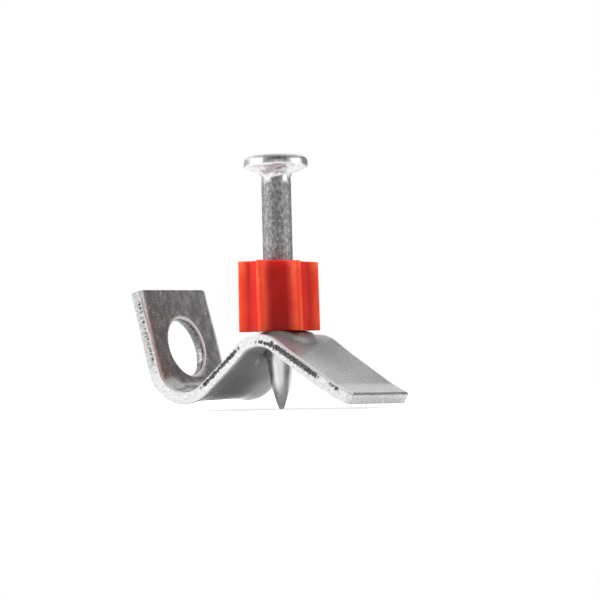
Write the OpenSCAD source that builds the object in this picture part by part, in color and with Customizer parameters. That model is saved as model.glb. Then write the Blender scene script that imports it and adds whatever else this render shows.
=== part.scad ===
// Nail-in ceiling clip: a drive pin in a fluted plastic guide sleeve, pressed through a bent steel strap.
// The origin is the pin's point, +Z runs up the pin to its head, and the strap runs along X.

/* [Drive pin] */
// Overall length of the pin
pin_len = 31.4; // [28:0.1:40]
// Diameter of the shank
shank_d = 3.7; // [3.2:0.1:4.5]
// Half angle of the cone behind the point
point_angle = 12.8; // [10:0.2:18]
// Radius that blends the cone into the shank
shoulder_r = 16; // [6:1:20]
// Radius of the blunt tip
tip_r = 0.42; // [0.2:0.02:0.6]

/* [Pin head] */
// Diameter of the head
head_d = 8; // [7:0.1:10]
// Thickness of the head at its rim
head_t = 1.4; // [1.3:0.05:2.5]
// Rounding of the rim's upper edge
rim_top_r = 0.7; // [0.3:0.05:0.9]
// Rounding of the rim's lower edge
rim_low_r = 0.5; // [0.2:0.05:0.8]
// Slope of the head's underside from level
head_slope = 18; // [8:1:30]
// Fillet between the head's underside and the shank
neck_r = 1; // [0.5:0.1:1.4]

/* [Guide sleeve] */
// Diameter over the ridges
sleeve_d = 10.1; // [9:0.1:12]
// Height of the sleeve
sleeve_h = 8.65; // [6:0.05:11]
// Number of flutes round the sleeve
flute_count = 6; // [5:1:8]
// Width of a flute's flat floor
flute_floor_w = 1.9; // [1.2:0.1:2.4]
// Diameter across the flutes' floors
flute_root_d = 7; // [6.4:0.1:8]
// Width of the flat land on each ridge
ridge_w = 0.6; // [0.3:0.1:1]
// Turn of the sleeve on the pin
sleeve_turn = 3; // [-30:1:30]

/* [Strap] */
// Width of the steel strip
strip_w = 14.8; // [12:0.2:20]
// Thickness of the steel strip
strip_t = 1.5; // [1:0.1:2]
// Rounding of the strip's four corners, seen flat
corner_r = 0.5; // [0.3:0.1:2]

/* [Bends] */
// Height of the crest above the pin's point
crest_z = 9.1; // [8:0.1:12]
// Distance of the crest from the pin's axis
crest_x = 1.3; // [0:0.1:2]
// Inside radius of the crest
crest_r = 3.1; // [2:0.1:4]
// Slope of the leg beside the tab
inner_slope = 40.5; // [30:0.5:45]
// Flat length of the leg beside the tab
inner_leg = 7.25; // [6:0.05:9]
// Inside radius of the bend under the tab
valley_r = 3.7; // [2.5:0.1:5]
// Lean of the tab from upright
tab_lean = 14.5; // [0:0.5:25]
// Flat length of the tab
tab_len = 10.5; // [10:0.1:16]
// Slope of the long leg
outer_slope = 33; // [25:0.5:40]
// Flat length of the long leg
outer_leg = 9.4; // [7:0.1:12]
// Angle by which the foot flattens out
foot_turn = 7; // [3:1:15]
// Inside radius of the foot's bend
foot_bend_r = 8; // [4:0.5:12]
// Flat length of the foot
foot_len = 1.8; // [1.2:0.1:4]

/* [Tab hole] */
// Diameter of the round hole in the tab
tab_hole_d = 7.3; // [5:0.1:9]
// Distance of the hole's middle from the tab's top edge
tab_hole_in = 7.6; // [5.5:0.1:8]
// Rounding that the punch leaves round the hole on the tab's inner face
hole_rollover_r = 0.25; // [0.1:0.05:0.4]
// How far the hole widens where the punch breaks out
hole_break = 0.2; // [0.1:0.05:0.4]
// Depth of the stretch that widens
hole_break_depth = 0.45; // [0.2:0.05:0.5]

/* [Raised seat] */
// Height of the round seat that is pressed up in the crest
seat_h = 0.6; // [0.3:0.05:0.9]
// Radius of the seat where it meets the long leg
seat_reach = 4.5; // [4:0.1:5.6]
// Slope of the seat's flank
seat_flank = 78; // [60:1:85]
// Depth that is levelled off the seat under the sleeve
seat_flat = 0.05; // [0.02:0.01:0.1]
// Diameter of the dimple under the seat
dimple_d = 6.1; // [5:0.1:7]
// Depth of the dimple
dimple_depth = 0.5; // [0.2:0.05:0.7]

/* [Fits] */
// Gap round the shank in the sleeve
sleeve_gap = 0.02; // [0.01:0.01:0.1]
// Gap round the shank in the strap
strap_gap = 0.03; // [0.01:0.01:0.1]

/* [Hidden] */
$fn = 96;
cut_margin = 1;
// Arcs are this much fuller than a true tangent, so that they cross the flats that they blend
arc_ease = 0.002;

shank_r = shank_d / 2;
head_r = head_d / 2;
sleeve_r = sleeve_d / 2;
tab_hole_r = tab_hole_d / 2;

// Point: the cone is a tangent to the tip's circle and to the shoulder's arc
cone_r = tip_r * cos(point_angle);
cone_z = tip_r * (1 - sin(point_angle));
cone_corner_z = cone_z + (shank_r - cone_r) / tan(point_angle);
shoulder_run = shoulder_r * tan(point_angle / 2);
shoulder_z = cone_corner_z + shoulder_run;

// Head: a corner of 90 degrees plus the underside's slope lies at the rim and at the neck
rim_low_z = pin_len - head_t;
neck_corner_z = rim_low_z - (head_r - shank_r) * tan(head_slope);
corner_run = 1 / tan((90 + head_slope) / 2);
neck_run = neck_r * corner_run;
rim_run = rim_low_r * corner_run;

// Sleeve: a flute's wall runs from its floor to the edge of the next ridge's land
flute_root_r = flute_root_d / 2;
ridge_edge_angle = 180 / flute_count - asin(ridge_w / sleeve_d);
flute_mouth_x = sleeve_r * cos(ridge_edge_angle);
flute_mouth_y = sleeve_r * sin(ridge_edge_angle);
flute_flare = (flute_mouth_y - flute_floor_w / 2) / (flute_mouth_x - flute_root_r);
flute_out_x = sleeve_r + cut_margin;
flute_out_y = flute_floor_w / 2 + (flute_out_x - flute_root_r) * flute_flare;

// Strap, seen from its side as [x, z]: the direction in which each flat runs away from the crest,
// the direction in which its upper face looks, and the centres of the bends between the flats
foot_slope = outer_slope - foot_turn;
inner_run = [-cos(inner_slope), -sin(inner_slope)];
inner_up = [-sin(inner_slope), cos(inner_slope)];
tab_run = [-sin(tab_lean), cos(tab_lean)];
tab_up = [cos(tab_lean), sin(tab_lean)];
outer_run = [cos(outer_slope), -sin(outer_slope)];
outer_up = [sin(outer_slope), cos(outer_slope)];
foot_run = [cos(foot_slope), -sin(foot_slope)];
foot_up = [sin(foot_slope), cos(foot_slope)];
crest_centre = [crest_x, crest_z - strip_t - crest_r];
valley_centre = crest_centre + (crest_r + strip_t + valley_r) * inner_up + inner_leg * inner_run;
foot_centre = crest_centre + (crest_r + strip_t + foot_bend_r) * outer_up + outer_leg * outer_run;
tab_top = valley_centre - (valley_r + strip_t) * tab_up + tab_len * tab_run;
foot_end = foot_centre - (foot_bend_r + strip_t) * foot_up + foot_len * foot_run;

// Seat: its flank is a cone that meets the long leg at the seat's reach
seat_z = crest_z + seat_h - seat_flat;
seat_foot_z = outer_leg_top(seat_reach);
seat_low_z = inner_leg_top(-seat_reach) - cut_margin;
seat_high_z = seat_z + cut_margin;

// Height of the long leg's upper face, and of the other leg's, at x
function outer_leg_top(x) = crest_centre.y + ((crest_r + strip_t) - (x - crest_x) * outer_up.x) / outer_up.y;
function inner_leg_top(x) = crest_centre.y + ((crest_r + strip_t) - (x - crest_x) * inner_up.x) / inner_up.y;

// Where two lines meet that touch a circle at the ends of two unit directions
function tangent_corner(centre, radius, a, b) = centre + radius * (a + b) / (1 + a * b);

// Takes a sharp corner off an outline, down to the circle that both of its sides touch
module round_off(centre, radius, a, b) {
    far = radius + cut_margin;
    difference() {
        polygon([
            centre + radius * a,
            centre + far * a,
            tangent_corner(centre, far, a, b),
            centre + far * b,
            centre + radius * b,
        ]);
        translate(centre) circle(radius + arc_ease);
    }
}

module pin_outline() {
    rim_down = [sin(head_slope), -cos(head_slope)];
    cone_out = [cos(point_angle), -sin(point_angle)];
    difference() {
        polygon([
            [0, 0],
            tangent_corner([0, tip_r], tip_r, [0, -1], cone_out),
            [shank_r, cone_corner_z],
            [shank_r, neck_corner_z - neck_run],
            [shank_r + neck_run * cos(head_slope), neck_corner_z + neck_run * sin(head_slope)],
            [head_r, rim_low_z],
            [head_r, pin_len],
            [0, pin_len],
        ]);
        translate([shank_r + neck_r, neck_corner_z - neck_run]) circle(neck_r + arc_ease);
        round_off([head_r - rim_top_r, pin_len - rim_top_r], rim_top_r, [1, 0], [0, 1]);
        round_off([head_r - rim_low_r, rim_low_z + rim_run], rim_low_r, [1, 0], rim_down);
        round_off([shank_r - shoulder_r, shoulder_z], shoulder_r, [1, 0], cone_out);
        round_off([0, tip_r], tip_r, [0, -1], cone_out);
    }
}

module drive_pin() {
    color("silver") rotate_extrude() pin_outline();
}

module flute_cut() {
    polygon([
        [flute_root_r, -flute_floor_w / 2],
        [flute_root_r, flute_floor_w / 2],
        [flute_out_x, flute_out_y],
        [flute_out_x, -flute_out_y],
    ]);
}

module guide_sleeve() {
    color("orangered")
    translate([0, 0, seat_z]) rotate(sleeve_turn)
    linear_extrude(sleeve_h)
    difference() {
        circle(sleeve_r);
        for (i = [0 : flute_count - 1]) rotate(i * 360 / flute_count) flute_cut();
        circle(shank_r + sleeve_gap);
    }
}

// Turns an outline in x and z into a slab across the strip
module across_strip(width) {
    rotate([90, 0, 0]) linear_extrude(width, center = true) children();
}

// The bent strip from its side: each bend has a true arc on its inner and on its outer face
module strip_outline() {
    difference() {
        polygon([
            tab_top + strip_t * tab_up,
            valley_centre - valley_r * tab_up,
            valley_centre - valley_r * inner_up,
            tangent_corner(crest_centre, crest_r + strip_t, inner_up, outer_up),
            foot_centre - foot_bend_r * outer_up,
            foot_centre - foot_bend_r * foot_up,
            foot_end + strip_t * foot_up,
            foot_end,
            tangent_corner(foot_centre, foot_bend_r + strip_t, -foot_up, -outer_up),
            crest_centre + crest_r * outer_up,
            crest_centre + crest_r * inner_up,
            tangent_corner(valley_centre, valley_r + strip_t, -inner_up, -tab_up),
            tab_top,
        ]);
        translate(valley_centre) circle(valley_r + arc_ease);
        translate(crest_centre) circle(crest_r + arc_ease);
        translate(foot_centre) circle(foot_bend_r + arc_ease);
        round_off(crest_centre, crest_r + strip_t, inner_up, outer_up);
        round_off(valley_centre, valley_r + strip_t, -inner_up, -tab_up);
        round_off(foot_centre, foot_bend_r + strip_t, -foot_up, -outer_up);
    }
}

// All that lies under the crest and its two legs, with their lower faces lifted
module under_crest(lift, depth) {
    radius = crest_r + lift;
    difference() {
        polygon([
            crest_centre + radius * inner_up + depth * inner_run,
            tangent_corner(crest_centre, radius, inner_up, outer_up),
            crest_centre + radius * outer_up + depth * outer_run,
        ]);
        round_off(crest_centre, radius, inner_up, outer_up);
    }
}

// A round pad that follows the bend, levelled off under the sleeve
module raised_seat() {
    intersection() {
        across_strip(strip_w)
        difference() {
            under_crest(strip_t + seat_h, inner_leg);
            under_crest(strip_t / 2, inner_leg + cut_margin);
        }
        translate([0, 0, seat_low_z])
            cylinder(
                h = seat_high_z - seat_low_z,
                r1 = seat_reach + (seat_foot_z - seat_low_z) / tan(seat_flank),
                r2 = seat_reach - (seat_high_z - seat_foot_z) / tan(seat_flank)
            );
        translate([-strip_w, -strip_w, 0]) cube([2 * strip_w, 2 * strip_w, seat_z]);
    }
}

// The hollow that the pressed-up seat leaves under the crest
module seat_dimple() {
    intersection() {
        across_strip(strip_w) under_crest(dimple_depth, inner_leg);
        cylinder(h = crest_z, d = dimple_d);
    }
}

// The tab's outer face at its top edge: x runs down the tab and z through it to the inner face
module at_tab() {
    translate([tab_top.x, 0, tab_top.y]) rotate([0, 90 - tab_lean, 0]) children();
}

// The foot's lower face at its end: x runs out of the foot and z through it to the upper face
module at_foot() {
    translate([foot_end.x, 0, foot_end.y]) rotate([0, foot_slope, 0]) children();
}

// Rounds both corners of a strip end, from which the strip runs towards +x or -x
module corner_cuts(inward) {
    for (side = [-1, 1])
        translate([0, side * strip_w / 2, -cut_margin])
        linear_extrude(strip_t + 2 * cut_margin)
        difference() {
            square(2 * corner_r, center = true);
            translate([inward * corner_r, -side * corner_r]) circle(corner_r);
        }
}

// The punch enters the tab's inner face, rounds its edge and breaks out wider on the outer face
module tab_hole_cut() {
    rotate_extrude()
    difference() {
        polygon([
            [0, -cut_margin],
            [tab_hole_r + hole_break * (1 + cut_margin / hole_break_depth), -cut_margin],
            [tab_hole_r, hole_break_depth],
            [tab_hole_r, strip_t - hole_rollover_r],
            [tab_hole_r + hole_rollover_r, strip_t],
            [tab_hole_r + hole_rollover_r, strip_t + cut_margin],
            [0, strip_t + cut_margin],
        ]);
        translate([tab_hole_r + hole_rollover_r, strip_t - hole_rollover_r]) circle(hole_rollover_r);
    }
}

module ceiling_clip() {
    color("lightgray")
    difference() {
        union() {
            across_strip(strip_w) strip_outline();
            raised_seat();
        }
        seat_dimple();
        cylinder(h = seat_high_z, r = shank_r + strap_gap);
        at_tab() {
            translate([tab_hole_in, 0, 0]) tab_hole_cut();
            corner_cuts(1);
        }
        at_foot() corner_cuts(-1);
    }
}

drive_pin();
guide_sleeve();
ceiling_clip();
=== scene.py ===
"""Looks of a nail-in ceiling clip: a drive pin in a red fluted sleeve, in a bent steel strap."""
import math

import bmesh
import bpy
from mathutils import Matrix, Vector, noise


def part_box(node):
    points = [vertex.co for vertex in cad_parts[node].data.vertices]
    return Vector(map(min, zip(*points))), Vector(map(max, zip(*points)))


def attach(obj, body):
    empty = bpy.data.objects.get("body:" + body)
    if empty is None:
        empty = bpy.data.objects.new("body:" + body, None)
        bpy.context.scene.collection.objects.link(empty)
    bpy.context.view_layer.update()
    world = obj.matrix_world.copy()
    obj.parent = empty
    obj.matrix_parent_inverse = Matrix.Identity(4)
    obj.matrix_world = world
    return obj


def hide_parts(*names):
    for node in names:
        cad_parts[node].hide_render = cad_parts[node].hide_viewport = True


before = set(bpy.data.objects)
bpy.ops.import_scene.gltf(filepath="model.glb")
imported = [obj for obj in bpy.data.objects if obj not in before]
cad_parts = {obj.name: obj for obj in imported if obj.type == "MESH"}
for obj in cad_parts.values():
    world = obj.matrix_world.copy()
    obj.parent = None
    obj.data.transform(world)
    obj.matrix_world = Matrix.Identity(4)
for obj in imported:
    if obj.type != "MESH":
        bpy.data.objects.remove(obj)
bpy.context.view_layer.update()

MM = 0.001
BODY = "root"
MERGE_DISTANCE = 0.0005 * MM
FLUSH = 0.01 * MM
SMOOTH_ANGLE = math.radians(35)

# Strap: the flats and bends of the bent strip, and how its bends curl
STRIP_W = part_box("ceiling_clip")[1].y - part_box("ceiling_clip")[0].y
STRIP_T = 1.5 * MM
CORNER_R = 0.5 * MM
CREST_Z = 9.1 * MM
CREST_X = 1.3 * MM
CREST_R = 3.1 * MM
INNER_SLOPE = math.radians(40.5)
INNER_LEG = 7.25 * MM
VALLEY_R = 3.7 * MM
TAB_LEAN = math.radians(14.5)
TAB_LEN = 10.5 * MM
OUTER_SLOPE = math.radians(33)
OUTER_LEG = 9.4 * MM
FOOT_TURN = math.radians(7)
FOOT_BEND_R = 8 * MM
FOOT_LEN = 1.8 * MM
VALLEY_CURL = 0.3 * MM
CREST_CURL = 0.15 * MM
CURL_REACH = 3 * MM
RING_STEP = 0.2 * MM
SIDE_STEP = 0.4 * RING_STEP

# Cut ends, with the places of their closer rings in millimetres from the end
END_EDGE_R = 0.14 * MM
END_RINGS = (0.015, 0.04, 0.08, 0.14, 0.22, 0.32, 0.42, 0.5)

# Sheared edges, with (length from the tab's top, size) pairs in millimetres for what changes along them
BURR_EDGE_R = 0.1 * MM
BURR_SEGMENTS = 3
ROLLOVER_R = 0.8 * MM
ROLLOVER_SEGMENTS = 9
ROLLOVER_STOPS = (
    (0, 0.8),
    (2.5, 0.8),
    (6, 0.35),
    (18, 0.35),
    (22, 0.5),
    (31, 0.5),
    (35, 0.65),
    (44, 0.65),
)
ROLLOVER_DROP = 0.35
FAR_EDGE_LIFT = ((0, 0.3), (9, 0.26), (18, 0), (31, 0), (41.5, -0.3), (44, -0.3))
EDGE_TEAR = 0.03 * MM
TEAR_GRAIN = 2.4
TEAR_SIDE_SEED = 7
TORN_DEPTH = 0.09 * MM

# Torn runs: start and end in millimetres, upper and lower depth as shares of the thickness, and how torn
TORN_FADE = 2.2
TORN_UPPER_FADE = 0.1
TORN_LOWER_FADE = 0.2
TORN_RUNS = (
    (0.0, 11.5, 0.22, 0.6, 0.5),
    (16.6, 26.2, 0.14, 0.46, 1.0),
    (27.2, 33.0, 0.4, 0.7, 0.85),
    (29.6, 39.6, 0.14, 0.58, 1.0),
    (38.6, 43.0, 0.12, 0.36, 0.75),
)

# Tab hole, and the seat that is pressed up round the pin
TAB_HOLE_R = 3.65 * MM
TAB_HOLE_IN = 7.6 * MM
HOLE_ROLLOVER_R = 0.5 * MM
HOLE_BREAK = 0.35 * MM
HOLE_BREAK_DEPTH = 0.65 * MM
SEAT_H = 0.6 * MM
SEAT_R = 4.3 * MM
SEAT_BLEND = 0.3 * MM
DIMPLE_R = 3.05 * MM
DIMPLE_BLEND = 0.35 * MM
DIMPLE_DEPTH = 0.5 * MM
DIMPLE_REACH = 2.6 * MM
DIMPLE_FULL = 0.4 * DIMPLE_REACH
PIN_HOLE_R = 1.88 * MM
CUT_PAST = 1 * MM
HOLE_RIM_STEPS = 8
TAB_HOLE_SIDES = 128
BORE_SIDES = 96

# Faces of the strap: the order of their finishes, and the cosines that tell walls and sides apart
SHEARED_SIDE = 1
CUT_END = 2
HOLE_WALL = 3
WALL_TURN = 0.5
SIDE_TURN = 0.6

# Drive pin
PIN_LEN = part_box("drive_pin")[1].z
HEAD_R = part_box("drive_pin")[1].x
SHANK_R = 1.85 * MM
POINT_ANGLE = math.radians(12.8)
SHOULDER_R = 16 * MM
TIP_R = 0.42 * MM
POINT_BULGE = 0.19 * MM
HEAD_T = 1.4 * MM
RIM_TOP_R = 0.7 * MM
RIM_LOW_R = 0.5 * MM
HEAD_SLOPE = math.radians(18)
NECK_R = 1 * MM
HEAD_LUMPS = 0.1 * MM
LUMPS_BELOW_NECK = 0.6 * MM
LUMPS_ABOVE_NECK = 0.5 * MM
LUMPS_LOST_ON_RIM = 0.75
COARSE_LUMPS = 1.2
FINE_LUMPS = 2.6
FINE_LUMP_SHARE = 0.6
STRUCK_FACE_T = 0.1 * MM

# Rings and sides of the pin's mesh
TIP_STEPS = 8
POINT_STEPS = 20
SHOULDER_STEPS = 12
SHANK_STEPS = 60
NECK_STEPS = 16
UNDER_HEAD_STEPS = 12
RIM_LOW_STEPS = 10
RIM_TOP_STEPS = 12
HEAD_TOP_STEPS = 6
PIN_SIDES = 144
PIN_SMOOTH_ANGLE = math.radians(60)

# Guide sleeve
SLEEVE_LOW_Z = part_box("guide_sleeve")[0].z
SLEEVE_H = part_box("guide_sleeve")[1].z - SLEEVE_LOW_Z
SLEEVE_R = 5.05 * MM
FLUTES = 6
FLUTE_FLOOR_W = 1.9 * MM
FLUTE_ROOT_R = 3.5 * MM
RIDGE_W = 0.6 * MM
SLEEVE_TURN = math.radians(3)
SLEEVE_BORE_R = 1.87 * MM
RIDGE_EDGE_R = 0.2 * MM
FLUTE_CORNER_R = 0.2 * MM
SLEEVE_CORNER_SEGMENTS = 4
SLEEVE_RIM_R = 0.1 * MM
SLEEVE_RIM_SEGMENTS = 3
SLEEVE_TWIST = math.radians(1.5)
SLEEVE_TOP_SLANT = math.radians(1.8)
SLEEVE_LOW_SIDE = math.radians(31)
SLEEVE_DRAFT = 0.985

# Finishes: zinc and sheared steel, and the sleeve's reds: its own in the flutes, a painted orange glow of
# light through its ridges, and pale orange for scuffs with painted light at the top
ZINC_BLUE = 1.01
SHEARED_METALLIC = 0.85
FLUTE_REDS = (0.62, 0.018, 0.012, 1), (0.7, 0.024, 0.016, 1)
PAINTED_GLOW_REDS = (0.9, 0.08, 0.03, 1), (0.95, 0.12, 0.038, 1)
SCUFF_AND_PAINTED_LIGHT_RED = (0.96, 0.24, 0.09, 1)

# Camera, as the photograph was taken
CAMERA_PLACE = Vector((119.43, -196.44, 5.5)) * MM
CAMERA_AIM = Vector((2.26, 1.31, 13.48)) * MM
CAMERA_ROLL = math.radians(1.42)
CAMERA_LENS = 111.1
CAMERA_SENSOR = 36
CAMERA_CLIP = 0.01
CAMERA_AZIMUTH = math.atan2(CAMERA_PLACE.x, -CAMERA_PLACE.y)

# Light: the world's on dull surfaces, and the floor's white where the camera and the metal see it
WORLD_LIGHT = 0.05
SOFTBOX_DISTANCE = 0.3
CARD_DISTANCE = 0.26
FLOOR_HALF = 0.15
FLOOR_GREY = 0.65
FLOOR_ROUGHNESS = 0.9
FLOOR_WHITE = 0.7
FLOOR_IN_METAL = 0.2


def side_vector(along_x, along_z):
    """A direction or place in the strap's side view."""
    return Vector((along_x, 0, along_z))


INNER_RUN = side_vector(-math.cos(INNER_SLOPE), -math.sin(INNER_SLOPE))
INNER_UP = side_vector(-math.sin(INNER_SLOPE), math.cos(INNER_SLOPE))
TAB_RUN = side_vector(-math.sin(TAB_LEAN), math.cos(TAB_LEAN))
TAB_UP = side_vector(math.cos(TAB_LEAN), math.sin(TAB_LEAN))
OUTER_RUN = side_vector(math.cos(OUTER_SLOPE), -math.sin(OUTER_SLOPE))
OUTER_UP = side_vector(math.sin(OUTER_SLOPE), math.cos(OUTER_SLOPE))
FOOT_SLOPE = OUTER_SLOPE - FOOT_TURN
FOOT_RUN = side_vector(math.cos(FOOT_SLOPE), -math.sin(FOOT_SLOPE))
FOOT_UP = side_vector(math.sin(FOOT_SLOPE), math.cos(FOOT_SLOPE))
CREST_CENTRE = side_vector(CREST_X, CREST_Z - STRIP_T - CREST_R)
VALLEY_CENTRE = CREST_CENTRE + (CREST_R + STRIP_T + VALLEY_R) * INNER_UP + INNER_LEG * INNER_RUN
FOOT_CENTRE = CREST_CENTRE + (CREST_R + STRIP_T + FOOT_BEND_R) * OUTER_UP + OUTER_LEG * OUTER_RUN
TAB_TOP = VALLEY_CENTRE - (VALLEY_R + STRIP_T) * TAB_UP + TAB_LEN * TAB_RUN
VALLEY_TURN = math.pi / 2 + INNER_SLOPE - TAB_LEAN
CREST_TURN = INNER_SLOPE + OUTER_SLOPE
ASKEW_SIDE = Vector((math.cos(SLEEVE_LOW_SIDE), math.sin(SLEEVE_LOW_SIDE), 0))


# Mesh helpers

def smoothstep(low, high, value):
    """0 below low, 1 above high, and a smooth rise between them."""
    share = min(1.0, max(0.0, (value - low) / (high - low)))
    return share * share * (3 - 2 * share)


def between(stops, value):
    """A size that changes evenly from one stop to the next, from (place, size) pairs in order."""
    for (low, first), (high, second) in zip(stops, stops[1:]):
        if value <= high:
            return first + (second - first) * max(0.0, value - low) / (high - low)
    return stops[-1][1]


def mesh_object(name, bm, smooth_angle=SMOOTH_ANGLE):
    """A new object from a bmesh, smooth up to an angle between its faces."""
    mesh = bpy.data.meshes.new(name)
    bm.to_mesh(mesh)
    bm.free()
    mesh.shade_smooth()
    mesh.set_sharp_from_angle(angle=smooth_angle)
    piece = bpy.data.objects.new(name, mesh)
    bpy.context.scene.collection.objects.link(piece)
    return piece


def cut(bm, *cutters):
    """The shape with the cutters' shapes taken out of it."""
    body = mesh_object("cut_body", bm)
    tools = [mesh_object("cutter", tool) for tool in cutters]
    for tool in tools:
        hole = body.modifiers.new("hole", "BOOLEAN")
        hole.operation = "DIFFERENCE"
        hole.solver = "EXACT"
        hole.object = tool
    evaluated = body.evaluated_get(bpy.context.evaluated_depsgraph_get())
    result = bmesh.new()
    result.from_mesh(evaluated.data)
    for thing in [body, *tools]:
        bpy.data.objects.remove(thing)
    bmesh.ops.remove_doubles(result, verts=result.verts, dist=MERGE_DISTANCE)
    return result


def spun(outline, steps):
    """A closed round shape about Z, from (radius, height) points of its half that run from axis to axis."""
    bm = bmesh.new()
    verts = [bm.verts.new((radius, 0, height)) for radius, height in outline]
    edges = [bm.edges.new(pair) for pair in zip(verts, verts[1:])]
    bmesh.ops.spin(bm, geom=verts + edges, cent=(0, 0, 0), axis=(0, 0, 1), angle=2 * math.pi,
                   steps=steps, use_merge=True, use_duplicate=False)
    bmesh.ops.remove_doubles(bm, verts=bm.verts, dist=MERGE_DISTANCE)
    bmesh.ops.recalc_face_normals(bm, faces=bm.faces)
    return bm


def arc(centre_r, centre_z, radius, start, end, steps):
    """Points of an arc in the half section, from one angle to another, in degrees from +X."""
    angles = [math.radians(start + (end - start) * i / steps) for i in range(steps + 1)]
    return [(centre_r + radius * math.cos(a), centre_z + radius * math.sin(a)) for a in angles]


def straight(start, end, steps):
    """Points between two places of the half section, both left out."""
    shares = [i / steps for i in range(1, steps)]
    return [tuple(a + (b - a) * share for a, b in zip(start, end)) for share in shares]


def finish_piece(piece, node, slot, *materials):
    """The piece stands for a node of the part, and has its finish."""
    for material in materials:
        piece.data.materials.append(material)
    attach(piece, BODY)
    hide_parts(node)


# Strap

def strip_section(bm):
    """The strip's section as one face at the tab's top edge, with its upper corners rolled over."""
    half_w = Vector((0, STRIP_W / 2, 0))
    inner = TAB_TOP + STRIP_T * TAB_UP
    upper = [bm.verts.new(inner - half_w), bm.verts.new(inner + half_w)]
    lower = [bm.verts.new(TAB_TOP + half_w), bm.verts.new(TAB_TOP - half_w)]
    bm.faces.new(upper + lower)
    for corners, radius, segments in ((upper, ROLLOVER_R, ROLLOVER_SEGMENTS),
                                      (lower, BURR_EDGE_R, BURR_SEGMENTS)):
        bmesh.ops.bevel(bm, geom=corners, offset=radius, offset_type="OFFSET", affect="VERTICES",
                        segments=segments, profile=0.5, material=-1)
    for edge in list(bm.edges):
        on_side = abs(edge.verts[0].co.y - edge.verts[1].co.y) < FLUSH
        step = SIDE_STEP if on_side else RING_STEP
        cuts = round(edge.calc_length() / step) - 1
        if cuts > 0:
            bmesh.ops.subdivide_edges(bm, edges=[edge], cuts=cuts)
    return bm.faces[:]


def with_borders(faces):
    """The faces with their edges and corners, so that a section carried along leaves no wall behind it."""
    return faces + [part for face in faces for part in [*face.edges, *face.verts]]


def sweep_straight(bm, faces, direction, length, first_rings=(), last_rings=()):
    """Carries the section along a flat of the strip, in even steps with closer rings at a cut end."""
    first = [ring * MM for ring in first_rings]
    last = [length - ring * MM for ring in reversed(last_rings)]
    low, high = (first or [0.0])[-1], (last or [length])[0]
    steps = max(1, round((high - low) / RING_STEP))
    even = [low + (high - low) * i / steps for i in range(1, steps + 1)]
    stops = first + even + last[1:] + ([length] if last else [])
    for start, stop in zip([0.0] + stops, stops):
        grown = bmesh.ops.extrude_face_region(bm, geom=with_borders(faces))["geom"]
        faces = [part for part in grown if isinstance(part, bmesh.types.BMFace)]
        verts = [part for part in grown if isinstance(part, bmesh.types.BMVert)]
        bmesh.ops.translate(bm, verts=verts, vec=direction * (stop - start))
    return faces


def sweep_bend(bm, faces, centre, angle, radius):
    """Carries the section round a bend, about Y."""
    steps = max(2, round(abs(angle) * radius / RING_STEP))
    turned = bmesh.ops.spin(bm, geom=with_borders(faces), cent=centre, axis=(0, 1, 0),
                            angle=angle, steps=steps)
    return [part for part in turned["geom_last"] if isinstance(part, bmesh.types.BMFace)]


def bent_strip():
    """The strip with its three bends, from the tab's top edge to the foot's end."""
    bm = bmesh.new()
    faces = strip_section(bm)
    faces = sweep_straight(bm, faces, -TAB_RUN, TAB_LEN, first_rings=END_RINGS)
    faces = sweep_bend(bm, faces, VALLEY_CENTRE, -VALLEY_TURN, VALLEY_R + STRIP_T)
    faces = sweep_straight(bm, faces, -INNER_RUN, INNER_LEG)
    faces = sweep_bend(bm, faces, CREST_CENTRE, CREST_TURN, CREST_R + STRIP_T)
    faces = sweep_straight(bm, faces, OUTER_RUN, OUTER_LEG)
    faces = sweep_bend(bm, faces, FOOT_CENTRE, -FOOT_TURN, FOOT_BEND_R)
    sweep_straight(bm, faces, FOOT_RUN, FOOT_LEN, last_rings=END_RINGS)
    bmesh.ops.recalc_face_normals(bm, faces=bm.faces)
    return bm


def strip_place(point):
    """Where a point lies in the strip, laid flat.

    Gives its length from the tab's top, its depth under the upper face and where that face looks.
    """
    stretches = [
        ("flat", TAB_TOP + STRIP_T * TAB_UP, -TAB_RUN, TAB_UP, TAB_LEN),
        ("bend", VALLEY_CENTRE, -TAB_UP, -TAB_RUN, VALLEY_TURN, VALLEY_R, -1),
        ("flat", VALLEY_CENTRE - VALLEY_R * INNER_UP, -INNER_RUN, INNER_UP, INNER_LEG),
        ("bend", CREST_CENTRE, INNER_UP, -INNER_RUN, CREST_TURN, CREST_R + STRIP_T, 1),
        ("flat", CREST_CENTRE + (CREST_R + STRIP_T) * OUTER_UP, OUTER_RUN, OUTER_UP, OUTER_LEG),
        ("bend", FOOT_CENTRE, -OUTER_UP, OUTER_RUN, FOOT_TURN, FOOT_BEND_R, -1),
        ("flat", FOOT_CENTRE - FOOT_BEND_R * FOOT_UP, FOOT_RUN, FOOT_UP, FOOT_LEN),
    ]
    flat_point = side_vector(point.x, point.z)
    best, start = None, 0.0
    for kind, origin, first, second, *sizes in stretches:
        offset = flat_point - origin
        if kind == "flat":
            length, along, up = sizes[0], offset.dot(first), second
            clamped = min(max(along, 0.0), length)
            depth = -offset.dot(second)
        else:
            turn, radius, sign = sizes
            angle = math.atan2(offset.dot(second), offset.dot(first))
            length, along = turn * radius, angle * radius
            clamped = min(max(along, 0.0), length)
            depth = sign * (radius - offset.length)
            up = offset.normalized() * sign
        miss = abs(along - clamped) + max(0.0, -depth - SEAT_H) + max(0.0, depth - STRIP_T)
        if best is None or miss < best[0]:
            best = (miss, start + clamped, depth, up)
        start += length
    return best[1:]


STRIP_LEN = strip_place(FOOT_CENTRE - FOOT_BEND_R * FOOT_UP + FOOT_LEN * FOOT_RUN)[0]


def round_off(radius, distance):
    """How far a quarter round of a radius falls back at a distance from its end."""
    return radius - math.sqrt(max(0.0, radius ** 2 - max(0.0, radius - distance) ** 2))


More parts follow.
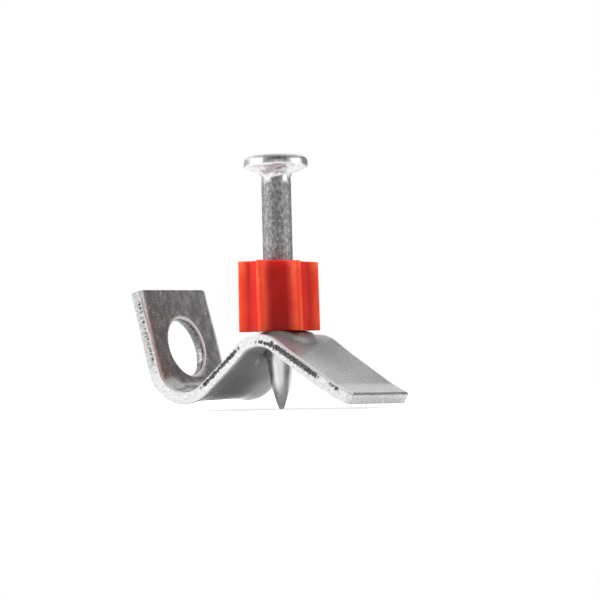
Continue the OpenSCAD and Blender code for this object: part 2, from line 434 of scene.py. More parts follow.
def roll_edges(bm):
    """Gives the shear's rollover its own reach and drop at each place along the strip."""
    for vert in bm.verts:
        inside = STRIP_W / 2 - abs(vert.co.y)
        if inside > ROLLOVER_R:
            continue
        along, depth, up = strip_place(vert.co)
        reach = between(ROLLOVER_STOPS, along / MM) * MM
        swept_drop = round_off(ROLLOVER_R, inside)
        drop = ROLLOVER_DROP * round_off(reach, min(inside, reach))
        share = min(1.0, max(0.0, (depth - swept_drop) / (STRIP_T - swept_drop)))
        vert.co -= up * (drop + share * (STRIP_T - drop) - depth)


def round_strip_ends(bm):
    """Rounds the strip's four corners, seen flat, and the edges of its cut ends."""
    for vert in bm.verts:
        along, depth, up = strip_place(vert.co)
        from_end = min(along, STRIP_LEN - along)
        if from_end < CORNER_R:
            vert.co.y *= 1 - round_off(CORNER_R, from_end) / (STRIP_W / 2)
            vert.co += up * round_off(END_EDGE_R, from_end) * (2 * depth / STRIP_T - 1)


def twist_ends(bm):
    """Twists the strip's ends a little: the far edge stands high at the tab and low at the foot."""
    for vert in bm.verts:
        along, _, _ = strip_place(vert.co)
        vert.co.z += between(FAR_EDGE_LIFT, along / MM) * MM * (vert.co.y + STRIP_W / 2) / STRIP_W


def curl_bends(bm):
    """Curls the bends as in bent strip: the valley's middle pulls in, and the crest's edges stand up."""
    valley_half = VALLEY_TURN * VALLEY_R / 2
    crest_half = CREST_TURN * (CREST_R + STRIP_T) / 2
    valley_middle = TAB_LEN + valley_half
    crest_middle = TAB_LEN + 2 * valley_half + INNER_LEG + crest_half
    for vert in bm.verts:
        along, _, up = strip_place(vert.co)
        inside = smoothstep(0, CURL_REACH, STRIP_W / 2 - abs(vert.co.y))
        in_valley = 1 - smoothstep(0.5 * valley_half, 2 * valley_half, abs(along - valley_middle))
        in_crest = 1 - smoothstep(0.5 * crest_half, 2 * crest_half, abs(along - crest_middle))
        vert.co += up * (VALLEY_CURL * in_valley * inside + CREST_CURL * in_crest * (1 - inside))


def torn_share(along, depth):
    """How torn the sheared side is at a place, from 0, burnished, to 1: the shear tears it in runs."""
    torn = 0.0
    for start, end, upper, lower, level in TORN_RUNS:
        in_run = smoothstep(start, start + TORN_FADE, along / MM)
        in_run *= 1 - smoothstep(end - TORN_FADE, end, along / MM)
        in_band = smoothstep(upper - TORN_UPPER_FADE, upper + TORN_UPPER_FADE, depth / STRIP_T)
        in_band *= 1 - smoothstep(lower - TORN_LOWER_FADE, lower + TORN_LOWER_FADE, depth / STRIP_T)
        torn = max(torn, level * in_run * in_band)
    return torn


def tear_edges(bm):
    """Roughens the strip's sheared sides, and breaks them deeper where they are torn."""
    for vert in bm.verts:
        if STRIP_W / 2 - abs(vert.co.y) > FLUSH:
            continue
        along, depth, _ = strip_place(vert.co)
        layer = math.copysign(TEAR_SIDE_SEED, vert.co.y)
        grain = noise.noise(Vector((along / MM * TEAR_GRAIN, depth / MM * TEAR_GRAIN, layer)))
        torn = torn_share(along, depth) * TORN_DEPTH
        vert.co.y -= math.copysign((EDGE_TEAR + torn) * (0.5 + grain), vert.co.y)


def press_seat(bm):
    """Presses the crest up round the pin: a low round seat above and a dimple under it."""
    for vert in bm.verts:
        from_axis = math.hypot(vert.co.x, vert.co.y)
        if from_axis > SEAT_R + SEAT_BLEND or vert.co.z < 0:
            continue
        _, depth, up = strip_place(vert.co)
        share = min(1.0, max(0.0, depth / STRIP_T))
        seat = SEAT_H * (1 - smoothstep(SEAT_R - SEAT_BLEND, SEAT_R + SEAT_BLEND, from_axis))
        dimple = 1 - smoothstep(DIMPLE_R - DIMPLE_BLEND, DIMPLE_R + DIMPLE_BLEND, from_axis)
        dimple *= DIMPLE_DEPTH
        dimple *= 1 - smoothstep(DIMPLE_FULL, DIMPLE_REACH, abs(vert.co.x))
        vert.co += up * (seat * (1 - share) + dimple * share)
        vert.co.z = min(vert.co.z, SLEEVE_LOW_Z)


def tab_hole_cutter():
    """The punch's way through the tab: rounded where it enters, and wider where the metal broke off."""
    wide = HOLE_BREAK * (1 + CUT_PAST / HOLE_BREAK_DEPTH)
    outline = [(0, -CUT_PAST), (TAB_HOLE_R + wide, -CUT_PAST), (TAB_HOLE_R, HOLE_BREAK_DEPTH)]
    rim_z = STRIP_T - HOLE_ROLLOVER_R
    outline += arc(TAB_HOLE_R + HOLE_ROLLOVER_R, rim_z, HOLE_ROLLOVER_R, 180, 90, HOLE_RIM_STEPS)
    outline += [(TAB_HOLE_R + HOLE_ROLLOVER_R, STRIP_T + CUT_PAST), (0, STRIP_T + CUT_PAST)]
    bm = spun(outline, TAB_HOLE_SIDES)
    turn = Matrix((-TAB_RUN, (0, 1, 0), TAB_UP)).transposed().to_4x4()
    move = Matrix.Translation(TAB_TOP - TAB_HOLE_IN * TAB_RUN)
    bmesh.ops.transform(bm, verts=bm.verts, matrix=move @ turn)
    return bm


def mark_places(bm):
    """Keeps each point's place in the strip, and how torn it is, for the finishes."""
    depth_layer = bm.verts.layers.float.new("depth")
    length_layer = bm.verts.layers.float.new("length")
    torn_layer = bm.verts.layers.float.new("torn")
    for vert in bm.verts:
        length, depth, _ = strip_place(vert.co)
        vert[length_layer] = length / MM
        vert[depth_layer] = depth / STRIP_T
        vert[torn_layer] = torn_share(length, depth)


def share_finishes(bm):
    """Gives the sheared sides, the cut ends and the holes' walls finishes of their own."""
    for face in bm.faces:
        middle = face.calc_center_median()
        along, _, up = strip_place(middle)
        if abs(face.normal.dot(up)) >= WALL_TURN:
            continue
        on_side = abs(face.normal.y) > SIDE_TURN and STRIP_W / 2 - abs(middle.y) < CORNER_R
        on_end = min(along, STRIP_LEN - along) < CORNER_R
        face.material_index = SHEARED_SIDE if on_side else CUT_END if on_end else HOLE_WALL


def ceiling_clip():
    """The strap: bent, sheared, pressed up for the pin, punched and a little twisted."""
    bm = bent_strip()
    roll_edges(bm)
    round_strip_ends(bm)
    tear_edges(bm)
    curl_bends(bm)
    press_seat(bm)
    pin_hole = spun([(0, 0), (PIN_HOLE_R, 0), (PIN_HOLE_R, 2 * CREST_Z), (0, 2 * CREST_Z)], BORE_SIDES)
    bm = cut(bm, tab_hole_cutter(), pin_hole)
    mark_places(bm)
    share_finishes(bm)
    twist_ends(bm)
    piece = mesh_object("steel_strap", bm)
    weighted = piece.modifiers.new("even shading", "WEIGHTED_NORMAL")
    weighted.keep_sharp = True
    finish_piece(piece, "ceiling_clip", "strap_steel", zinc_strip(), sheared_edge(), cut_end(),
                 punched_wall())


# Drive pin

def drive_pin():
    """The pin: blunt tip, cone, shank, filleted neck and a flat head with a rounded rim."""
    cone_deg, slope_deg = math.degrees(POINT_ANGLE), math.degrees(HEAD_SLOPE)
    cone_corner_z = TIP_R * (1 - math.sin(POINT_ANGLE))
    cone_corner_z += (SHANK_R - TIP_R * math.cos(POINT_ANGLE)) / math.tan(POINT_ANGLE)
    shoulder_z = cone_corner_z + SHOULDER_R * math.tan(POINT_ANGLE / 2)
    corner_run = 1 / math.tan((math.pi / 2 + HEAD_SLOPE) / 2)
    rim_low_z = PIN_LEN - HEAD_T
    neck_z = rim_low_z - (HEAD_R - SHANK_R) * math.tan(HEAD_SLOPE) - NECK_R * corner_run
    tip = arc(0, TIP_R, TIP_R, -90, -cone_deg, TIP_STEPS)
    shoulder = arc(SHANK_R - SHOULDER_R, shoulder_z, SHOULDER_R, -cone_deg, 0, SHOULDER_STEPS)
    neck = arc(SHANK_R + NECK_R, neck_z, NECK_R, 180, 90 + slope_deg, NECK_STEPS)
    low_rim_z = rim_low_z + RIM_LOW_R * corner_run
    low_rim = arc(HEAD_R - RIM_LOW_R, low_rim_z, RIM_LOW_R, slope_deg - 90, 0, RIM_LOW_STEPS)
    top_rim = arc(HEAD_R - RIM_TOP_R, PIN_LEN - RIM_TOP_R, RIM_TOP_R, 0, 90, RIM_TOP_STEPS)
    outline = tip[:]
    for step, (radius, height) in enumerate(straight(tip[-1], shoulder[0], POINT_STEPS), 1):
        outline.append((radius + POINT_BULGE * math.sin(math.pi * step / POINT_STEPS), height))
    outline += shoulder
    outline += straight(shoulder[-1], neck[0], SHANK_STEPS) + neck
    outline += straight(neck[-1], low_rim[0], UNDER_HEAD_STEPS) + low_rim + top_rim
    outline += straight(top_rim[-1], (0, PIN_LEN), HEAD_TOP_STEPS) + [(0, PIN_LEN)]
    bm = spun(outline, PIN_SIDES)
    for vert in bm.verts:
        headed = smoothstep(neck_z - LUMPS_BELOW_NECK, neck_z + LUMPS_ABOVE_NECK, vert.co.z)
        headed *= 1 - LUMPS_LOST_ON_RIM * smoothstep(rim_low_z, rim_low_z + RIM_LOW_R, vert.co.z)
        headed *= 1 - smoothstep(PIN_LEN - STRUCK_FACE_T, PIN_LEN, vert.co.z)
        lump = noise.noise(vert.co / MM * COARSE_LUMPS)
        lump += FINE_LUMP_SHARE * noise.noise(vert.co / MM * FINE_LUMPS)
        vert.co -= vert.normal * HEAD_LUMPS * headed * (0.5 + lump)
    piece = mesh_object("steel_pin", bm, PIN_SMOOTH_ANGLE)
    finish_piece(piece, "drive_pin", "pin_steel", zinc_pin())


# Guide sleeve

def flute_points():
    """The sleeve's outline: each flute's two floor corners, then the next ridge's two edges."""
    half_land = math.asin(RIDGE_W / 2 / SLEEVE_R)
    pitch = 2 * math.pi / FLUTES
    floor_r = math.hypot(FLUTE_ROOT_R, FLUTE_FLOOR_W / 2)
    floor_a = math.atan2(FLUTE_FLOOR_W / 2, FLUTE_ROOT_R)
    for i in range(FLUTES):
        middle = SLEEVE_TURN + i * pitch
        ridge = middle + pitch / 2
        for radius, angle in ((floor_r, middle - floor_a), (floor_r, middle + floor_a),
                              (SLEEVE_R, ridge - half_land), (SLEEVE_R, ridge + half_land)):
            yield Vector((radius * math.cos(angle), radius * math.sin(angle), SLEEVE_LOW_Z))


def guide_sleeve():
    """The fluted sleeve: soft moulded edges, a slight taper and twist, and a slanted top."""
    bm = bmesh.new()
    outline = [bm.verts.new(point) for point in flute_points()]
    bm.faces.new(outline)
    ridges = [vert for vert in outline if vert.co.xy.length > SLEEVE_R - FLUSH]
    corners = [vert for vert in outline if vert not in ridges]
    for group, radius in ((ridges, RIDGE_EDGE_R), (corners, FLUTE_CORNER_R)):
        bmesh.ops.bevel(bm, geom=group, offset=radius, offset_type="OFFSET", affect="VERTICES",
                        segments=SLEEVE_CORNER_SEGMENTS, profile=0.5, material=-1)
    grown = bmesh.ops.extrude_face_region(bm, geom=bm.faces[:])["geom"]
    top = [part for part in grown if isinstance(part, bmesh.types.BMVert)]
    bmesh.ops.translate(bm, verts=top, vec=(0, 0, SLEEVE_H))
    bmesh.ops.scale(bm, verts=top, vec=(SLEEVE_DRAFT, SLEEVE_DRAFT, 1))
    twist = Matrix.Rotation(-SLEEVE_TWIST, 3, "Z")
    bmesh.ops.rotate(bm, verts=top, cent=(0, 0, 0), matrix=twist)
    for vert in top:
        vert.co.z -= vert.co.dot(ASKEW_SIDE) * math.tan(SLEEVE_TOP_SLANT)
    bmesh.ops.recalc_face_normals(bm, faces=bm.faces)
    rims = [edge for edge in bm.edges if abs(edge.verts[0].co.z - edge.verts[1].co.z) < SLEEVE_H / 2]
    bmesh.ops.bevel(bm, geom=rims, offset=SLEEVE_RIM_R, offset_type="OFFSET", affect="EDGES",
                    segments=SLEEVE_RIM_SEGMENTS, profile=0.5, material=-1)
    bore = spun([(0, 0), (SLEEVE_BORE_R, 0), (SLEEVE_BORE_R, PIN_LEN), (0, PIN_LEN)], BORE_SIDES)
    piece = mesh_object("fluted_sleeve", cut(bm, bore))
    weighted = piece.modifiers.new("even shading", "WEIGHTED_NORMAL")
    weighted.keep_sharp = True
    finish_piece(piece, "guide_sleeve", "sleeve_plastic", red_plastic())


# Finishes

class Finish:
    """A material's nodes, made and joined one line at a time."""

    def __init__(self, name):
        self.material = bpy.data.materials.new(name)
        self.material.use_nodes = True
        self.tree = self.material.node_tree
        self.shader = self.tree.nodes["Principled BSDF"]

    def join(self, socket, value):
        """Links another node's output to a socket, or sets the socket to a plain value."""
        if isinstance(value, bpy.types.NodeSocket):
            self.tree.links.new(value, socket)
        else:
            socket.default_value = value

    def node(self, kind, settings=None, **inputs):
        """A new node with its settings and inputs, where _ in an input's name stands for a space."""
        made = self.tree.nodes.new("ShaderNode" + kind)
        for key, value in (settings or {}).items():
            setattr(made, key, value)
        for key, value in inputs.items():
            self.join(made.inputs[key.replace("_", " ")], value)
        return made

    def attribute(self, name):
        """A value kept on the strap's points."""
        return self.node("Attribute", {"attribute_name": name}).outputs["Fac"]

    def place(self, scale=(1, 1, 1)):
        """Object coordinates in millimetres, stretched or not."""
        coordinates = self.node("TexCoord").outputs["Object"]
        stretched = self.node("Mapping", Vector=coordinates)
        stretched.inputs["Scale"].default_value = [s / MM for s in scale]
        return stretched.outputs["Vector"]

    def radius(self):
        """The distance from the pin's axis, in millimetres."""
        flat = self.place((1, 1, 0))
        return self.node("VectorMath", {"operation": "LENGTH"}, Vector=flat).outputs["Value"]

    def noise(self, vector, scale, detail, roughness):
        """Soft noise between 0 and 1."""
        made = self.node("TexNoise", Vector=vector, Scale=scale, Detail=detail, Roughness=roughness)
        return made.outputs["Fac"]

    def ramp(self, value, low, high, dark=0, light=1):
        """A value spread from one range onto another."""
        made = self.node("MapRange", {"interpolation_type": "SMOOTHSTEP"}, Value=value)
        for name, number in zip(("From Min", "From Max", "To Min", "To Max"), (low, high, dark, light)):
            made.inputs[name].default_value = number
        return made.outputs["Result"]

    def math(self, operation, a, b=0.0):
        """The sum, product or other result of two values."""
        made = self.node("Math", {"operation": operation})
        for socket, value in zip(made.inputs, (a, b)):
            self.join(socket, value)
        return made.outputs["Value"]

    def mix(self, share, first, second):
        """A colour between two others."""
        made = self.node("Mix", {"data_type": "RGBA"})
        sockets = (made.inputs["Factor"], made.inputs[6], made.inputs[7])
        for socket, value in zip(sockets, (share, first, second)):
            self.join(socket, value)
        return made.outputs[2]

    def bump(self, height, strength, distance):
        """Fine relief under the shapes that the mesh has."""
        made = self.node("Bump", Height=height, Strength=strength, Distance=distance)
        self.set(Normal=made.outputs["Normal"])

    def set(self, **inputs):
        """Sets the surface's own inputs, where _ in a name stands for a space."""
        for key, value in inputs.items():
            self.join(self.shader.inputs[key.replace("_", " ")], value)


def grey(level):
    """A colour of zinc and steel: a grey with a trace of blue."""
    return (level, level, level * ZINC_BLUE, 1)


def zinc_strip():
    """Zinc on rolled strip: faint streaks, dull patches, scuffs, a painted highlight along the long edges
    and round the tab hole, and a dull seat that is also painted dark as shade under the sleeve.
    """
    finish = Finish("zinc_strip")
    length = finish.attribute("length")
    across = finish.node("SeparateXYZ", Vector=finish.place()).outputs["Y"]
    flat = finish.node("CombineXYZ", X=finish.math("MULTIPLY", length, 0.12), Y=across).outputs["Vector"]
    streaks = finish.noise(flat, 3.2, 2, 0.5)
    patches = finish.noise(finish.place(), 0.75, 4, 0.62)
    grain = finish.noise(finish.place(), 4.5, 2, 0.5)
    scuffs = finish.ramp(finish.noise(finish.place(), 2.2, 1, 0.4), 0.73, 0.78)
    # Painted shade: the seat round the pin is painted dark grey, for the shade under the sleeve; the press
    # also leaves it rougher and less metallic there.
    pressed = finish.ramp(finish.radius(), SEAT_R / MM, 2.6 * SEAT_R / MM, 1, 0)
    half_width = STRIP_W / MM / 2
    long_edge = finish.ramp(finish.math("ABSOLUTE", across), half_width - 0.75, half_width - 0.3)
    below_hole = finish.math("SUBTRACT", length, TAB_HOLE_IN / MM)
    from_hole = finish.math("SQRT", finish.math("ADD", finish.math("MULTIPLY", below_hole, below_hole),
                                                finish.math("MULTIPLY", across, across)))
    hole_rim = finish.ramp(from_hole, TAB_HOLE_R / MM + 0.35, TAB_HOLE_R / MM + 0.6, 1, 0)
    # Painted highlight: the strip's long edges and the rim of the tab hole are painted pale, for the light
    # that the rolled-over corners catch; they are also a little rougher and less metallic.
    painted_edge_highlight = finish.math("MAXIMUM", long_edge, hole_rim)
    shade = finish.math("ADD", finish.math("MULTIPLY", streaks, 0.35),
                        finish.math("MULTIPLY", patches, 0.65))
    tone = finish.mix(finish.ramp(shade, 0.38, 0.62), grey(0.36), grey(0.49))
    tone = finish.mix(finish.math("MULTIPLY", pressed, 0.75), tone, grey(0.2))
    tone = finish.mix(finish.math("MULTIPLY", painted_edge_highlight, 0.8), tone, grey(0.72))
    dull = finish.math("ADD", finish.ramp(patches, 0.4, 0.7, 0.16, 0.3),
                       finish.math("MULTIPLY", grain, 0.04))
    dull = finish.math("ADD", dull, finish.math("MULTIPLY", pressed, 0.22))
    dull = finish.math("ADD", dull, finish.math("MULTIPLY", painted_edge_highlight, 0.15))
    plated = finish.math("MULTIPLY", finish.ramp(pressed, 0, 1, 0.74, 0.5),
                         finish.ramp(painted_edge_highlight, 0, 1, 1, 0.65))
    finish.set(Base_Color=finish.mix(scuffs, tone, grey(0.85)), Metallic=plated,
               Roughness=finish.math("ADD", dull, finish.math("MULTIPLY", scuffs, 0.25)))
    finish.bump(finish.math("ADD", grain, finish.math("MULTIPLY", streaks, 0.5)), 0.05, 0.03 * MM)
    return finish.material


def sheared_edge():
    """The strip's sheared edge: burnished bright, with dark torn runs under the rolled-over corner."""
    finish = Finish("sheared_edge")
    length = finish.attribute("length")
    depth = finish.attribute("depth")
    torn = finish.attribute("torn")
    flat = finish.node("CombineXYZ", X=length, Y=finish.math("MULTIPLY", depth, 0.6)).outputs["Vector"]
    ragged = finish.noise(flat, 3.0, 3, 0.6)
    grain = finish.noise(finish.place(), 3.0, 3, 0.6)
    edge = finish.math("MULTIPLY", finish.math("SUBTRACT", ragged, 0.5), 2.2)
    flecks = finish.ramp(finish.math("ADD", torn, edge), 0.34, 0.68)
    flecks = finish.math("MULTIPLY", flecks, finish.ramp(torn, 0.02, 0.3))
    burnish = finish.ramp(length, 8, 12.5)
    plain = finish.mix(finish.ramp(grain, 0.36, 0.64), grey(0.36), grey(0.56))
    bright = finish.mix(finish.ramp(grain, 0.36, 0.64), grey(0.56), grey(0.7))
    tone = finish.mix(burnish, plain, bright)
    dark = finish.mix(finish.ramp(grain, 0.4, 0.62), grey(0.045), grey(0.16))
    finish.set(Base_Color=finish.mix(flecks, tone, dark), Metallic=SHEARED_METALLIC,
               Roughness=finish.math("ADD", finish.ramp(grain, 0.3, 0.7, 0.26, 0.36),
                                     finish.math("MULTIPLY", flecks, 0.2)))
    finish.bump(finish.math("SUBTRACT", grain, flecks), 0.35, 0.06 * MM)
    return finish.material


def cut_end():
    """The strip's sheared ends: pale, with a darker line under the rolled-over edge."""
    finish = Finish("cut_end")
    depth = finish.attribute("depth")
    grain = finish.noise(finish.place(), 2.6, 3, 0.6)
    border = finish.math("ADD", depth, finish.math("MULTIPLY", finish.math("SUBTRACT", grain, 0.5), 0.25))
    under = finish.ramp(border, 0.1, 0.24, 1, 0)
    tone = finish.mix(finish.ramp(grain, 0.36, 0.64), grey(0.62), grey(0.8))
    finish.set(Base_Color=finish.mix(under, tone, grey(0.2)), Metallic=SHEARED_METALLIC,
               Roughness=finish.ramp(grain, 0.3, 0.7, 0.3, 0.42))
    finish.bump(grain, 0.3, 0.05 * MM)
    return finish.material


def punched_wall():
    """The walls of the holes: dull, dark and mottled, painted dark as shade in the tab hole's upper half,
    with bright smears lower down that are partly burnish from the punch and partly painted highlight.
    """
    finish = Finish("punched_wall")
    length = finish.attribute("length")
    depth = finish.attribute("depth")
    flat = finish.node("CombineXYZ", X=length, Y=finish.math("MULTIPLY", depth, 0.5)).outputs["Vector"]
    smear = finish.noise(flat, 2.0, 3, 0.6)
    grain = finish.noise(finish.place(), 2.6, 3, 0.6)
    # Painted shade and highlight: in the tab hole the wall stays dark less than 6 mm from the tab's top,
    # and bright smears fade in by 9 mm; the smears are partly burnish, partly painted highlight.
    burnish_and_painted_highlight = finish.math("MULTIPLY", finish.ramp(length, 6, 9), finish.ramp(smear, 0.4, 0.66))
    tone = finish.mix(finish.ramp(grain, 0.36, 0.64), grey(0.12), grey(0.26))
    finish.set(Base_Color=finish.mix(burnish_and_painted_highlight, tone, grey(0.7)), Metallic=SHEARED_METALLIC,
               Roughness=finish.ramp(grain, 0.3, 0.7, 0.3, 0.42))
    finish.bump(grain, 0.3, 0.05 * MM)
    return finish.material


def zinc_pin():
    """Zinc on a headed pin: speckled along the shank, smooth on head and point, dull where it is struck."""
    finish = Finish("zinc_pin")
    height = finish.node("SeparateXYZ", Vector=finish.place()).outputs["Z"]
    speckle = finish.noise(finish.place((1, 1, 0.6)), 3.2, 4, 0.7)
    drawn = finish.noise(finish.place((1, 1, 0.12)), 2.2, 2, 0.5)
    head_z = (PIN_LEN - HEAD_T) / MM
    shank = finish.math("MULTIPLY", finish.ramp(height, head_z - 2.2, head_z - 1.4, 1, 0),
                        finish.ramp(height, 7.5, 9.5))
    tone = finish.mix(finish.ramp(speckle, 0.42, 0.64), grey(0.22), grey(0.5))
    smooth = finish.mix(finish.ramp(drawn, 0.35, 0.65), grey(0.66), grey(0.8))
    struck = finish.ramp(height, (PIN_LEN / MM) - 0.12, (PIN_LEN / MM) - 0.04)
    smooth = finish.mix(struck, smooth, grey(0.5))
    rough = finish.math("MULTIPLY", shank, finish.ramp(speckle, 0.3, 0.7, 0.16, 0.3))
    finish.set(Base_Color=finish.mix(shank, smooth, tone), Metallic=finish.ramp(shank, 0, 1, 0.9, 0.8),
               Roughness=finish.math("ADD", finish.ramp(struck, 0, 1, 0.3, 0.5), rough))
    relief = finish.math("ADD", finish.math("MULTIPLY", speckle, shank),
                         finish.math("MULTIPLY", drawn, 0.3))
    finish.bump(relief, 0.35, 0.08 * MM)
    return finish.material


def red_plastic():
    """Red moulded plastic: deep red in the flutes, orange towards the ridges' edges as a painted glow of
    light through them, and scuffs with painted light at the top.
    """
    finish = Finish("red_plastic")
    height = finish.node("SeparateXYZ", Vector=finish.place()).outputs["Z"]
    cloud = finish.noise(finish.place((1, 1, 0.5)), 0.6, 3, 0.55)
    grain = finish.noise(finish.place((1, 1, 0.15)), 2.5, 2, 0.5)
    # Painted light: the plastic is painted orange towards the ridges' edges, for light that shines through
    # the narrow ridges.
    painted_ridge_glow = finish.ramp(finish.radius(), FLUTE_ROOT_R / MM + 0.2, FLUTE_ROOT_R / MM + 1.3)
    middle_z, top_z = SLEEVE_LOW_Z + 0.55 * SLEEVE_H, SLEEVE_LOW_Z + SLEEVE_H
    upper = finish.ramp(height, middle_z / MM, top_z / MM)
    # Scuffs and painted light: pale orange patches on the ridges' upper part, partly scuffs and partly
    # painted light falling from above.
    scuff_and_painted_top_light = finish.math("MULTIPLY", finish.math("MULTIPLY", upper, painted_ridge_glow),
                        finish.ramp(cloud, 0.38, 0.6, 0.15, 0.75))
    deep = finish.mix(finish.ramp(cloud, 0.3, 0.7), *FLUTE_REDS)
    ridge = finish.mix(finish.ramp(cloud, 0.3, 0.7), *PAINTED_GLOW_REDS)
    tone = finish.mix(painted_ridge_glow, deep, ridge)
    finish.set(Base_Color=finish.mix(scuff_and_painted_top_light, tone, SCUFF_AND_PAINTED_LIGHT_RED),
               Roughness=finish.ramp(grain, 0.3, 0.7, 0.34, 0.46))
    finish.set(Specular_IOR_Level=0.2, Subsurface_Weight=0.9, Subsurface_Scale=1.2 * MM,
               Subsurface_Radius=(1.0, 0.4, 0.1))
    finish.bump(grain, 0.1, 0.04 * MM)
    return finish.material


# Studio

def studio_direction(azimuth, elevation):
    """A direction from the object, with azimuth in degrees to the right of the camera."""
    a, e = CAMERA_AZIMUTH + math.radians(azimuth), math.radians(elevation)
    return Vector((math.sin(a) * math.cos(e), -math.cos(a) * math.cos(e), math.sin(e)))


def panel_size(azimuths, elevations, distance):
    """The width and height of a flat panel that fills a range of directions."""
    width = 2 * distance * math.tan(math.radians(azimuths[1] - azimuths[0]) / 2)
    height = 2 * distance * math.tan(math.radians(elevations[1] - elevations[0]) / 2)
    return width, height


def facing_object(thing, azimuths, elevations, distance):
    """Stands a lamp or a card up round the object, in the middle of its range of directions."""
    direction = studio_direction(sum(azimuths) / 2, sum(elevations) / 2)
    thing.matrix_world = (Matrix.Translation(CAMERA_AIM + direction * distance)
                          @ direction.to_track_quat("Z", "Y").to_matrix().to_4x4())
    bpy.context.scene.collection.objects.link(thing)


def softbox(name, azimuths, elevations, radiance, distance=SOFTBOX_DISTANCE):
    """A soft lamp of an even brightness for the dull surfaces: in the metal, the cards show instead."""
    lamp = bpy.data.lights.new(name, "AREA")
    lamp.shape = "RECTANGLE"
    lamp.size, lamp.size_y = panel_size(azimuths, elevations, distance)
    lamp.energy = radiance * math.pi * lamp.size * lamp.size_y
    stand = bpy.data.objects.new(name, lamp)
    facing_object(stand, azimuths, elevations, distance)
    stand.visible_glossy = False


def card(name, azimuths, elevations, level, distance=CARD_DISTANCE):
    """A card of an even brightness that shows in the metal and takes no light off the object."""
    bm = bmesh.new()
    bmesh.ops.create_grid(bm, x_segments=1, y_segments=1, size=0.5)
    width, height = panel_size(azimuths, elevations, distance)
    bmesh.ops.scale(bm, verts=bm.verts, vec=(width, height, 1))
    panel = bpy.data.objects.new(name, bpy.data.meshes.new(name))
    bm.to_mesh(panel.data)
    bm.free()
    paint = bpy.data.materials.new(name)
    paint.use_nodes = True
    shader = paint.node_tree.nodes["Principled BSDF"]
    shader.inputs["Base Color"].default_value = (0, 0, 0, 1)
    shader.inputs["Specular IOR Level"].default_value = 0
    shader.inputs["Emission Color"].default_value = (1, 1, 1, 1)
    shader.inputs["Emission Strength"].default_value = level
    panel.data.materials.append(paint)
    facing_object(panel, azimuths, elevations, distance)
    panel.visible_camera = False
    panel.visible_diffuse = False
    panel.visible_shadow = False


def white_where_seen(tree, plain, output, to_camera, in_metal):
    """Adds white to the floor or the world, where the camera sees it and where metal shows it."""
    rays = tree.nodes.new("ShaderNodeLightPath")
    strength = None
    levels = (("Is Camera Ray", to_camera), ("Is Glossy Ray", in_metal), ("Is Transmission Ray", in_metal))
    for ray, level in levels:
        part = tree.nodes.new("ShaderNodeMath")
        part.operation = "MULTIPLY"
        part.inputs[1].default_value = level
        tree.links.new(rays.outputs[ray], part.inputs[0])
        if strength is not None:
            either = tree.nodes.new("ShaderNodeMath")
            either.operation = "MAXIMUM"
            tree.links.new(strength, either.inputs[0])
            tree.links.new(part.outputs["Value"], either.inputs[1])
            part = either
        strength = part.outputs["Value"]
    on_surface = output.type == "OUTPUT_MATERIAL"
    white = tree.nodes.new("ShaderNodeEmission" if on_surface else "ShaderNodeBackground")
    white.inputs["Color"].default_value = (1, 1, 1, 1)
    tree.links.new(strength, white.inputs["Strength"])
    added = tree.nodes.new("ShaderNodeAddShader")
    tree.links.new(plain.outputs[0], added.inputs[0])
    tree.links.new(white.outputs[0], added.inputs[1])
    tree.links.new(added.outputs[0], output.inputs["Surface"])


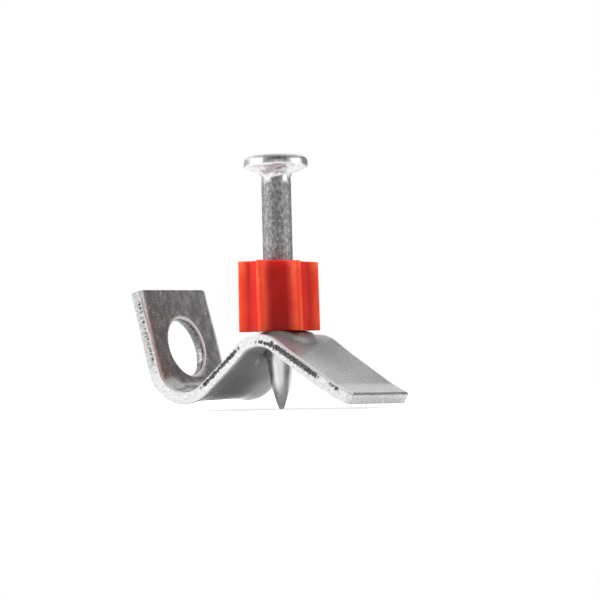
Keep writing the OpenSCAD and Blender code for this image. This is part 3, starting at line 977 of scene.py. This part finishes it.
def pale_floor():
    """A wide pale floor, which keeps a faint shadow of the object."""
    bm = bmesh.new()
    bmesh.ops.create_grid(bm, x_segments=1, y_segments=1, size=FLOOR_HALF)
    floor = bpy.data.objects.new("pale_floor", bpy.data.meshes.new("pale_floor"))
    bm.to_mesh(floor.data)
    bm.free()
    paint = bpy.data.materials.new("pale_floor")
    paint.use_nodes = True
    tree = paint.node_tree
    shader = tree.nodes["Principled BSDF"]
    shader.inputs["Base Color"].default_value = (FLOOR_GREY, FLOOR_GREY, FLOOR_GREY, 1)
    shader.inputs["Roughness"].default_value = FLOOR_ROUGHNESS
    shader.inputs["Specular IOR Level"].default_value = 0
    white_where_seen(tree, shader, tree.nodes["Material Output"], FLOOR_WHITE, FLOOR_IN_METAL)
    floor.data.materials.append(paint)
    bpy.context.scene.collection.objects.link(floor)


def studio():
    """Soft boxes and white cards at both sides, dark and grey cards round the rest, and a white world."""
    world = bpy.data.worlds.new("studio")
    bpy.context.scene.world = world
    world.use_nodes = True
    tree = world.node_tree
    plain = tree.nodes["Background"]
    plain.inputs["Color"].default_value = (1, 1, 1, 1)
    plain.inputs["Strength"].default_value = WORLD_LIGHT
    white_where_seen(tree, plain, tree.nodes["World Output"], 1 - WORLD_LIGHT, 1 - WORLD_LIGHT)
    # Each has its ranges of azimuth and elevation, in degrees, and its brightness
    softbox("left_softbox", (-120, -67), (14, 74), 5.6)
    softbox("right_softbox", (64, 108), (6, 62), 3.4)
    softbox("top_softbox", (150, 210), (50, 80), 1.5)
    card("left_white_card", (-108, -48), (-12, 46), 1.6)
    card("right_white_card", (54, 100), (-12, 34), 1.7)
    card("right_upper_grey_card", (50, 104), (34, 80), 0.25)
    card("front_low_grey_card", (-50, 55), (-14, 13), 0.4)
    card("front_dark_card", (-50, 55), (13, 66), 0.03)
    card("front_upper_grey_card", (-60, 60), (66, 112), 0.3)
    card("right_back_dark_card", (100, 156), (-14, 40), 0.15)
    card("left_back_grey_card", (-160, -108), (-14, 24), 0.5)
    card("low_back_grey_card", (156, 200), (-10, 10), 0.2)
    pale_floor()


def photo_camera():
    """The camera, where the photograph was taken from."""
    camera = bpy.data.objects.new("camera", bpy.data.cameras.new("camera"))
    camera.data.lens = CAMERA_LENS
    camera.data.sensor_width = CAMERA_SENSOR
    camera.data.clip_start = CAMERA_CLIP
    look = (CAMERA_AIM - CAMERA_PLACE).normalized().to_track_quat("-Z", "Y").to_matrix().to_4x4()
    roll = Matrix.Rotation(-CAMERA_ROLL, 4, "Z")
    camera.matrix_world = Matrix.Translation(CAMERA_PLACE) @ look @ roll
    bpy.context.scene.collection.objects.link(camera)
    bpy.context.scene.camera = camera


bpy.context.scene.view_settings.view_transform = "Standard"
photo_camera()
drive_pin()
guide_sleeve()
ceiling_clip()
studio()
